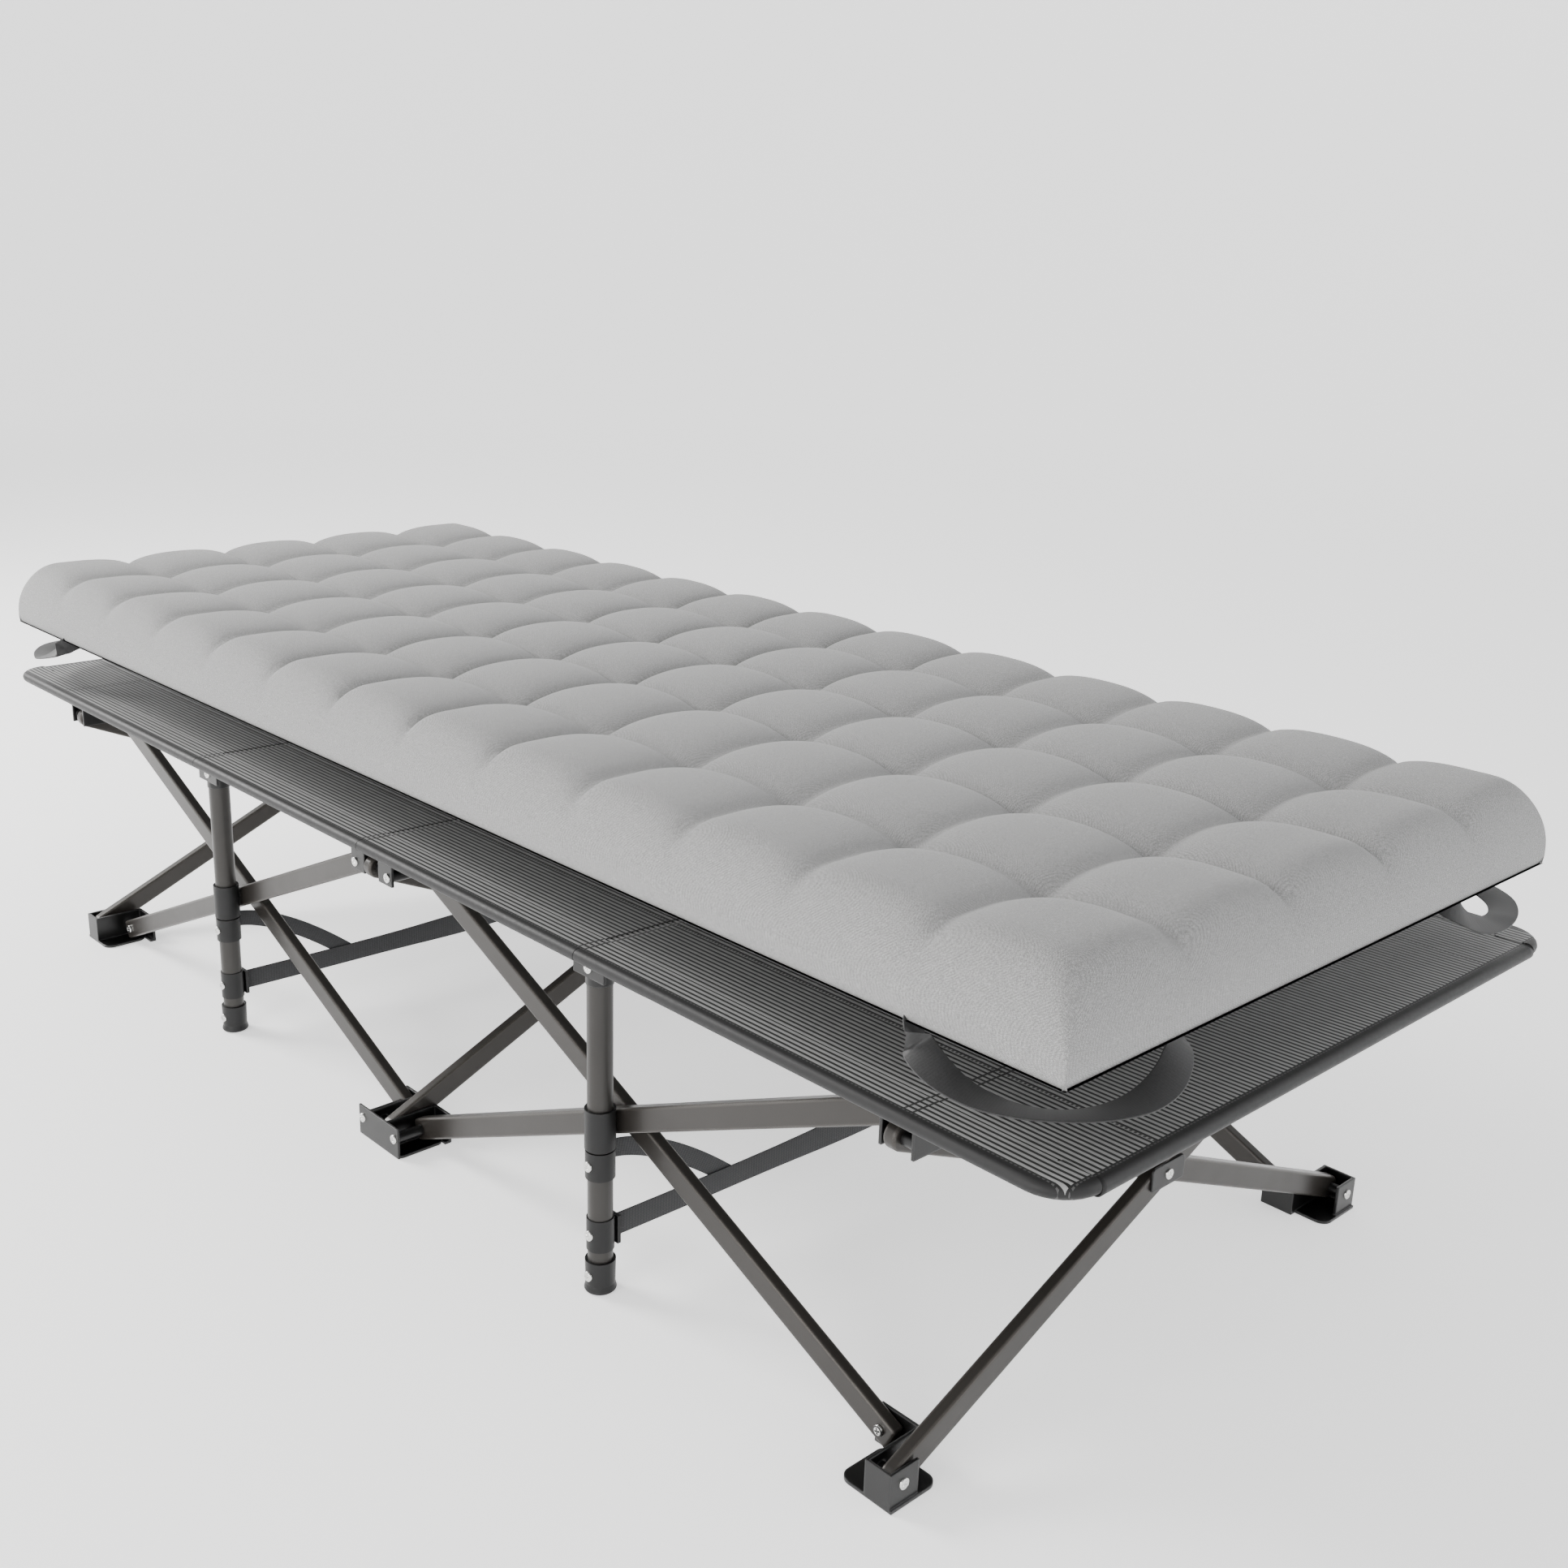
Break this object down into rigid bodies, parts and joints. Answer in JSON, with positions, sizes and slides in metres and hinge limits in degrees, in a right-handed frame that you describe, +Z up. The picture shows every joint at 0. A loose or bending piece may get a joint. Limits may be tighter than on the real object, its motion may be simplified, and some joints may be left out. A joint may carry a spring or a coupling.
{
  "type": "folding cot",
  "caption": "Folding camp bed: scissor-bundle steel frame on feet and legs, striped fabric sling on folding rails, and a loose tufted mattress.",
  "frame": {"origin": "on the floor at the middle of the bed's footprint", "axes": "+X along the bed to its front end, -Y towards its right side, +Z up"},
  "size_m": [1.9, 0.756, 0.518],
  "materials": {
    "arm_enamel": "dark warm grey enamel, satin",
    "black_enamel": "gloss black enamel",
    "rail_steel": "grey enamel tube inside the hem",
    "leg_enamel": "grey enamel, satin",
    "black_plastic": "moulded, fine grain",
    "sling_stripe": "fine lengthwise stripe with black binding",
    "mattress_cloth": "tufted brushed cloth",
    "loop_elastic": "flat woven elastic",
    "strap_webbing": "woven webbing",
    "screw_steel": "bright pan-head screws"
  },
  "bodies": {
    "foot_back_right": {"foot_back_right": "black_enamel"},
    "hub_back_right": {"hub_back_right": "black_enamel"},
    "foot_back_left": {"foot_back_left": "black_enamel"},
    "hub_back_left": {"hub_back_left": "black_enamel"},
    "foot_mid_right": {"foot_mid_right": "black_enamel"},
    "hub_mid_right": {"hub_mid_right": "black_enamel"},
    "foot_mid_left": {"foot_mid_left": "black_enamel"},
    "hub_mid_left": {"hub_mid_left": "black_enamel"},
    "foot_front_right": {"foot_front_right": "black_enamel"},
    "hub_front_right": {"hub_front_right": "black_enamel"},
    "foot_front_left": {"foot_front_left": "black_enamel"},
    "hub_front_left": {"hub_front_left": "black_enamel"},
    "arm_right_back_outer": {"arm_right_back_outer": "arm_enamel"},
    "arm_right_front_outer": {"arm_right_front_outer": "arm_enamel"},
    "arm_right_back_inner": {"arm_right_back_inner": "arm_enamel"},
    "arm_right_front_inner": {"arm_right_front_inner": "arm_enamel"},
    "arm_left_back_outer": {"arm_left_back_outer": "arm_enamel"},
    "arm_left_front_outer": {"arm_left_front_outer": "arm_enamel"},
    "arm_left_back_inner": {"arm_left_back_inner": "arm_enamel"},
    "arm_left_front_inner": {"arm_left_front_inner": "arm_enamel"},
    "arm_back_cross_right": {"arm_back_cross_right": "arm_enamel", "cross_clip_back": "black_enamel"},
    "arm_back_cross_left": {"arm_back_cross_left": "arm_enamel"},
    "arm_mid_cross_right": {"arm_mid_cross_right": "arm_enamel"},
    "arm_mid_cross_left": {"arm_mid_cross_left": "arm_enamel"},
    "arm_front_cross_right": {"arm_front_cross_right": "arm_enamel", "cross_clip_front": "black_enamel"},
    "arm_front_cross_left": {"arm_front_cross_left": "arm_enamel"},
    "long_rail_back_right": {"long_rail_back_right": "rail_steel", "sling_back_end": "sling_stripe"},
    "short_rail_back_right": {"short_rail_back_right": "rail_steel", "sling_back_mid": "sling_stripe"},
    "slider_back_right": {"slider_back_right": "black_plastic"},
    "leg_back_right": {"leg_tube_back_right": "leg_enamel", "leg_fittings_back_right": "black_plastic", "leg_top_back_right": "black_enamel", "cross_strap_back": "strap_webbing"},
    "long_rail_front_right": {"long_rail_front_right": "rail_steel", "sling_front_end": "sling_stripe"},
    "short_rail_front_right": {"short_rail_front_right": "rail_steel", "sling_front_mid": "sling_stripe"},
    "slider_front_right": {"slider_front_right": "black_plastic"},
    "leg_front_right": {"leg_tube_front_right": "leg_enamel", "leg_fittings_front_right": "black_plastic", "leg_top_front_right": "black_enamel", "cross_strap_front": "strap_webbing"},
    "long_rail_back_left": {"long_rail_back_left": "rail_steel"},
    "short_rail_back_left": {"short_rail_back_left": "rail_steel"},
    "slider_back_left": {"slider_back_left": "black_plastic"},
    "leg_back_left": {"leg_tube_back_left": "leg_enamel", "leg_fittings_back_left": "black_plastic", "leg_top_back_left": "black_enamel"},
    "long_rail_front_left": {"long_rail_front_left": "rail_steel"},
    "short_rail_front_left": {"short_rail_front_left": "rail_steel"},
    "slider_front_left": {"slider_front_left": "black_plastic"},
    "leg_front_left": {"leg_tube_front_left": "leg_enamel", "leg_fittings_front_left": "black_plastic", "leg_top_front_left": "black_enamel"},
    "mattress": {"mattress": "mattress_cloth", "corner_loops": "loop_elastic"}
  },
  "joints": [
    {"name": "fold", "type": "hinge", "parent": "foot_mid_right", "child": "arm_right_front_outer", "pos_m": [0.033, -0.324, 0.022], "axis": [0, -1, 0], "range_deg": [0, 58], "deforming": ["sling_back_end", "sling_back_mid", "sling_front_mid", "sling_front_end", "cross_strap_back", "cross_strap_front"]},
    {"name": "swing_right_front_inner", "type": "hinge", "parent": "arm_right_front_outer", "child": "arm_right_front_inner", "pos_m": [0.383, -0.317, 0.176], "axis": [0, -1, 0], "range_deg": [-116, 0]},
    {"name": "swing_right_back_inner", "type": "hinge", "parent": "foot_mid_right", "child": "arm_right_back_inner", "pos_m": [-0.033, -0.31, 0.022], "axis": [0, -1, 0], "range_deg": [-58, 0]},
    {"name": "swing_right_back_outer", "type": "hinge", "parent": "arm_right_back_inner", "child": "arm_right_back_outer", "pos_m": [-0.383, -0.317, 0.176], "axis": [0, -1, 0], "range_deg": [0, 116]},
    {"name": "level_foot_front_right", "type": "hinge", "parent": "arm_right_front_inner", "child": "foot_front_right", "pos_m": [0.733, -0.31, 0.022], "axis": [0, -1, 0], "range_deg": [0, 58]},
    {"name": "level_foot_back_right", "type": "hinge", "parent": "arm_right_back_outer", "child": "foot_back_right", "pos_m": [-0.733, -0.324, 0.022], "axis": [0, -1, 0], "range_deg": [-58, 0]},
    {"name": "level_hub_front_right", "type": "hinge", "parent": "arm_right_front_outer", "child": "hub_front_right", "pos_m": [0.733, -0.324, 0.33], "axis": [0, -1, 0], "range_deg": [-58, 0]},
    {"name": "level_hub_back_right", "type": "hinge", "parent": "arm_right_back_inner", "child": "hub_back_right", "pos_m": [-0.733, -0.31, 0.33], "axis": [0, -1, 0], "range_deg": [0, 58]},
    {"name": "level_hub_mid_right", "type": "hinge", "parent": "arm_right_front_inner", "child": "hub_mid_right", "pos_m": [0.033, -0.31, 0.33], "axis": [0, -1, 0], "range_deg": [0, 58]},
    {"name": "swing_left_front_outer", "type": "hinge", "parent": "foot_mid_left", "child": "arm_left_front_outer", "pos_m": [0.033, 0.324, 0.022], "axis": [0, -1, 0], "range_deg": [0, 58]},
    {"name": "swing_left_front_inner", "type": "hinge", "parent": "arm_left_front_outer", "child": "arm_left_front_inner", "pos_m": [0.383, 0.317, 0.176], "axis": [0, -1, 0], "range_deg": [-116, 0]},
    {"name": "swing_left_back_inner", "type": "hinge", "parent": "foot_mid_left", "child": "arm_left_back_inner", "pos_m": [-0.033, 0.31, 0.022], "axis": [0, -1, 0], "range_deg": [-58, 0]},
    {"name": "swing_left_back_outer", "type": "hinge", "parent": "arm_left_back_inner", "child": "arm_left_back_outer", "pos_m": [-0.383, 0.317, 0.176], "axis": [0, -1, 0], "range_deg": [0, 116]},
    {"name": "swing_back_cross_right", "type": "hinge", "parent": "foot_back_right", "child": "arm_back_cross_right", "pos_m": [-0.781, -0.35, 0.022], "axis": [1, 0, 0], "range_deg": [0, 58]},
    {"name": "swing_back_cross_left", "type": "hinge", "parent": "arm_back_cross_right", "child": "arm_back_cross_left", "pos_m": [-0.774, 0, 0.176], "axis": [1, 0, 0], "range_deg": [-116, 0]},
    {"name": "level_hub_back_left", "type": "hinge", "parent": "arm_back_cross_right", "child": "hub_back_left", "pos_m": [-0.781, 0.35, 0.33], "axis": [1, 0, 0], "range_deg": [-58, 0]},
    {"name": "level_foot_back_left", "type": "hinge", "parent": "arm_back_cross_left", "child": "foot_back_left", "pos_m": [-0.767, 0.35, 0.022], "axis": [1, 0, 0], "range_deg": [0, 58]},
    {"name": "swing_mid_cross_right", "type": "hinge", "parent": "foot_mid_right", "child": "arm_mid_cross_right", "pos_m": [0.007, -0.35, 0.022], "axis": [1, 0, 0], "range_deg": [0, 58]},
    {"name": "swing_mid_cross_left", "type": "hinge", "parent": "arm_mid_cross_right", "child": "arm_mid_cross_left", "pos_m": [0, 0, 0.176], "axis": [1, 0, 0], "range_deg": [-116, 0]},
    {"name": "level_hub_mid_left", "type": "hinge", "parent": "arm_mid_cross_right", "child": "hub_mid_left", "pos_m": [0.007, 0.35, 0.33], "axis": [1, 0, 0], "range_deg": [-58, 0]},
    {"name": "level_foot_mid_left", "type": "hinge", "parent": "arm_mid_cross_left", "child": "foot_mid_left", "pos_m": [-0.007, 0.35, 0.022], "axis": [1, 0, 0], "range_deg": [0, 58]},
    {"name": "swing_front_cross_right", "type": "hinge", "parent": "foot_front_right", "child": "arm_front_cross_right", "pos_m": [0.781, -0.35, 0.022], "axis": [1, 0, 0], "range_deg": [0, 58]},
    {"name": "swing_front_cross_left", "type": "hinge", "parent": "arm_front_cross_right", "child": "arm_front_cross_left", "pos_m": [0.774, 0, 0.176], "axis": [1, 0, 0], "range_deg": [-116, 0]},
    {"name": "level_hub_front_left", "type": "hinge", "parent": "arm_front_cross_right", "child": "hub_front_left", "pos_m": [0.781, 0.35, 0.33], "axis": [1, 0, 0], "range_deg": [-58, 0]},
    {"name": "level_foot_front_left", "type": "hinge", "parent": "arm_front_cross_left", "child": "foot_front_left", "pos_m": [0.767, 0.35, 0.022], "axis": [1, 0, 0], "range_deg": [0, 58]},
    {"name": "turn_long_rail_back_right", "type": "hinge", "parent": "hub_back_right", "child": "long_rail_back_right", "pos_m": [-0.742, -0.3715, 0.3596], "axis": [0, -1, 0], "range_deg": [-81.83, 0]},
    {"name": "turn_short_rail_back_right", "type": "hinge", "parent": "hub_mid_right", "child": "short_rail_back_right", "pos_m": [-0.024, -0.3715, 0.3596], "axis": [0, -1, 0], "range_deg": [0, 81.83]},
    {"name": "level_slider_back_right", "type": "hinge", "parent": "arm_right_back_outer", "child": "slider_back_right", "pos_m": [-0.383, -0.3305, 0.176], "axis": [0, -1, 0], "range_deg": [-58, 0]},
    {"name": "slide_leg_back_right", "type": "slide", "parent": "slider_back_right", "child": "leg_back_right", "axis": [0, 0, 1], "range_m": [-0.11612, 0]},
    {"name": "turn_long_rail_front_right", "type": "hinge", "parent": "hub_front_right", "child": "long_rail_front_right", "pos_m": [0.742, -0.3715, 0.3596], "axis": [0, -1, 0], "range_deg": [0, 81.83]},
    {"name": "turn_short_rail_front_right", "type": "hinge", "parent": "hub_mid_right", "child": "short_rail_front_right", "pos_m": [0.024, -0.3715, 0.3596], "axis": [0, -1, 0], "range_deg": [-81.83, 0]},
    {"name": "level_slider_front_right", "type": "hinge", "parent": "arm_right_front_outer", "child": "slider_front_right", "pos_m": [0.383, -0.3305, 0.176], "axis": [0, -1, 0], "range_deg": [-58, 0]},
    {"name": "slide_leg_front_right", "type": "slide", "parent": "slider_front_right", "child": "leg_front_right", "axis": [0, 0, 1], "range_m": [-0.11612, 0]},
    {"name": "turn_long_rail_back_left", "type": "hinge", "parent": "hub_back_left", "child": "long_rail_back_left", "pos_m": [-0.742, 0.3715, 0.3596], "axis": [0, -1, 0], "range_deg": [-81.83, 0]},
    {"name": "turn_short_rail_back_left", "type": "hinge", "parent": "hub_mid_left", "child": "short_rail_back_left", "pos_m": [-0.024, 0.3715, 0.3596], "axis": [0, -1, 0], "range_deg": [0, 81.83]},
    {"name": "level_slider_back_left", "type": "hinge", "parent": "arm_left_back_outer", "child": "slider_back_left", "pos_m": [-0.383, 0.3305, 0.176], "axis": [0, -1, 0], "range_deg": [-58, 0]},
    {"name": "slide_leg_back_left", "type": "slide", "parent": "slider_back_left", "child": "leg_back_left", "axis": [0, 0, 1], "range_m": [-0.11612, 0]},
    {"name": "turn_long_rail_front_left", "type": "hinge", "parent": "hub_front_left", "child": "long_rail_front_left", "pos_m": [0.742, 0.3715, 0.3596], "axis": [0, -1, 0], "range_deg": [0, 81.83]},
    {"name": "turn_short_rail_front_left", "type": "hinge", "parent": "hub_mid_left", "child": "short_rail_front_left", "pos_m": [0.024, 0.3715, 0.3596], "axis": [0, -1, 0], "range_deg": [-81.83, 0]},
    {"name": "level_slider_front_left", "type": "hinge", "parent": "arm_left_front_outer", "child": "slider_front_left", "pos_m": [0.383, 0.3305, 0.176], "axis": [0, -1, 0], "range_deg": [-58, 0]},
    {"name": "slide_leg_front_left", "type": "slide", "parent": "slider_front_left", "child": "leg_front_left", "axis": [0, 0, 1], "range_m": [-0.11612, 0]},
    {"name": "lift_mattress", "type": "slide", "parent": "foot_mid_right", "child": "mattress", "axis": [0, 0, 1], "range_m": [0, 0.76944]}
  ],
  "couplings": [
    {"joint": "swing_right_front_inner", "follows": "fold", "ratio": -2},
    {"joint": "swing_right_back_inner", "follows": "fold", "ratio": -1},
    {"joint": "swing_right_back_outer", "follows": "fold", "ratio": 2},
    {"joint": "level_foot_front_right", "follows": "fold", "ratio": 1},
    {"joint": "level_foot_back_right", "follows": "fold", "ratio": -1},
    {"joint": "level_hub_front_right", "follows": "fold", "ratio": -1},
    {"joint": "level_hub_back_right", "follows": "fold", "ratio": 1},
    {"joint": "level_hub_mid_right", "follows": "fold", "ratio": 1},
    {"joint": "swing_left_front_outer", "follows": "fold", "ratio": 1},
    {"joint": "swing_left_front_inner", "follows": "fold", "ratio": -2},
    {"joint": "swing_left_back_inner", "follows": "fold", "ratio": -1},
    {"joint": "swing_left_back_outer", "follows": "fold", "ratio": 2},
    {"joint": "swing_back_cross_right", "follows": "fold", "ratio": 1},
    {"joint": "swing_back_cross_left", "follows": "fold", "ratio": -2},
    {"joint": "level_hub_back_left", "follows": "fold", "ratio": -1},
    {"joint": "level_foot_back_left", "follows": "fold", "ratio": 1},
    {"joint": "swing_mid_cross_right", "follows": "fold", "ratio": 1},
    {"joint": "swing_mid_cross_left", "follows": "fold", "ratio": -2},
    {"joint": "level_hub_mid_left", "follows": "fold", "ratio": -1},
    {"joint": "level_foot_mid_left", "follows": "fold", "ratio": 1},
    {"joint": "swing_front_cross_right", "follows": "fold", "ratio": 1},
    {"joint": "swing_front_cross_left", "follows": "fold", "ratio": -2},
    {"joint": "level_hub_front_left", "follows": "fold", "ratio": -1},
    {"joint": "level_foot_front_left", "follows": "fold", "ratio": 1},
    {"joint": "turn_long_rail_back_right", "follows": "fold", "ratio": -1.4109},
    {"joint": "turn_short_rail_back_right", "follows": "fold", "ratio": 1.4109},
    {"joint": "level_slider_back_right", "follows": "fold", "ratio": -1},
    {"joint": "slide_leg_back_right", "follows": "fold", "m_per_rad": -0.1147},
    {"joint": "turn_long_rail_front_right", "follows": "fold", "ratio": 1.4109},
    {"joint": "turn_short_rail_front_right", "follows": "fold", "ratio": -1.4109},
    {"joint": "level_slider_front_right", "follows": "fold", "ratio": -1},
    {"joint": "slide_leg_front_right", "follows": "fold", "m_per_rad": -0.1147},
    {"joint": "turn_long_rail_back_left", "follows": "fold", "ratio": -1.4109},
    {"joint": "turn_short_rail_back_left", "follows": "fold", "ratio": 1.4109},
    {"joint": "level_slider_back_left", "follows": "fold", "ratio": -1},
    {"joint": "slide_leg_back_left", "follows": "fold", "m_per_rad": -0.1147},
    {"joint": "turn_long_rail_front_left", "follows": "fold", "ratio": 1.4109},
    {"joint": "turn_short_rail_front_left", "follows": "fold", "ratio": -1.4109},
    {"joint": "level_slider_front_left", "follows": "fold", "ratio": -1},
    {"joint": "slide_leg_front_left", "follows": "fold", "m_per_rad": -0.1147},
    {"joint": "lift_mattress", "follows": "fold", "m_per_rad": 0.76}
  ]
}
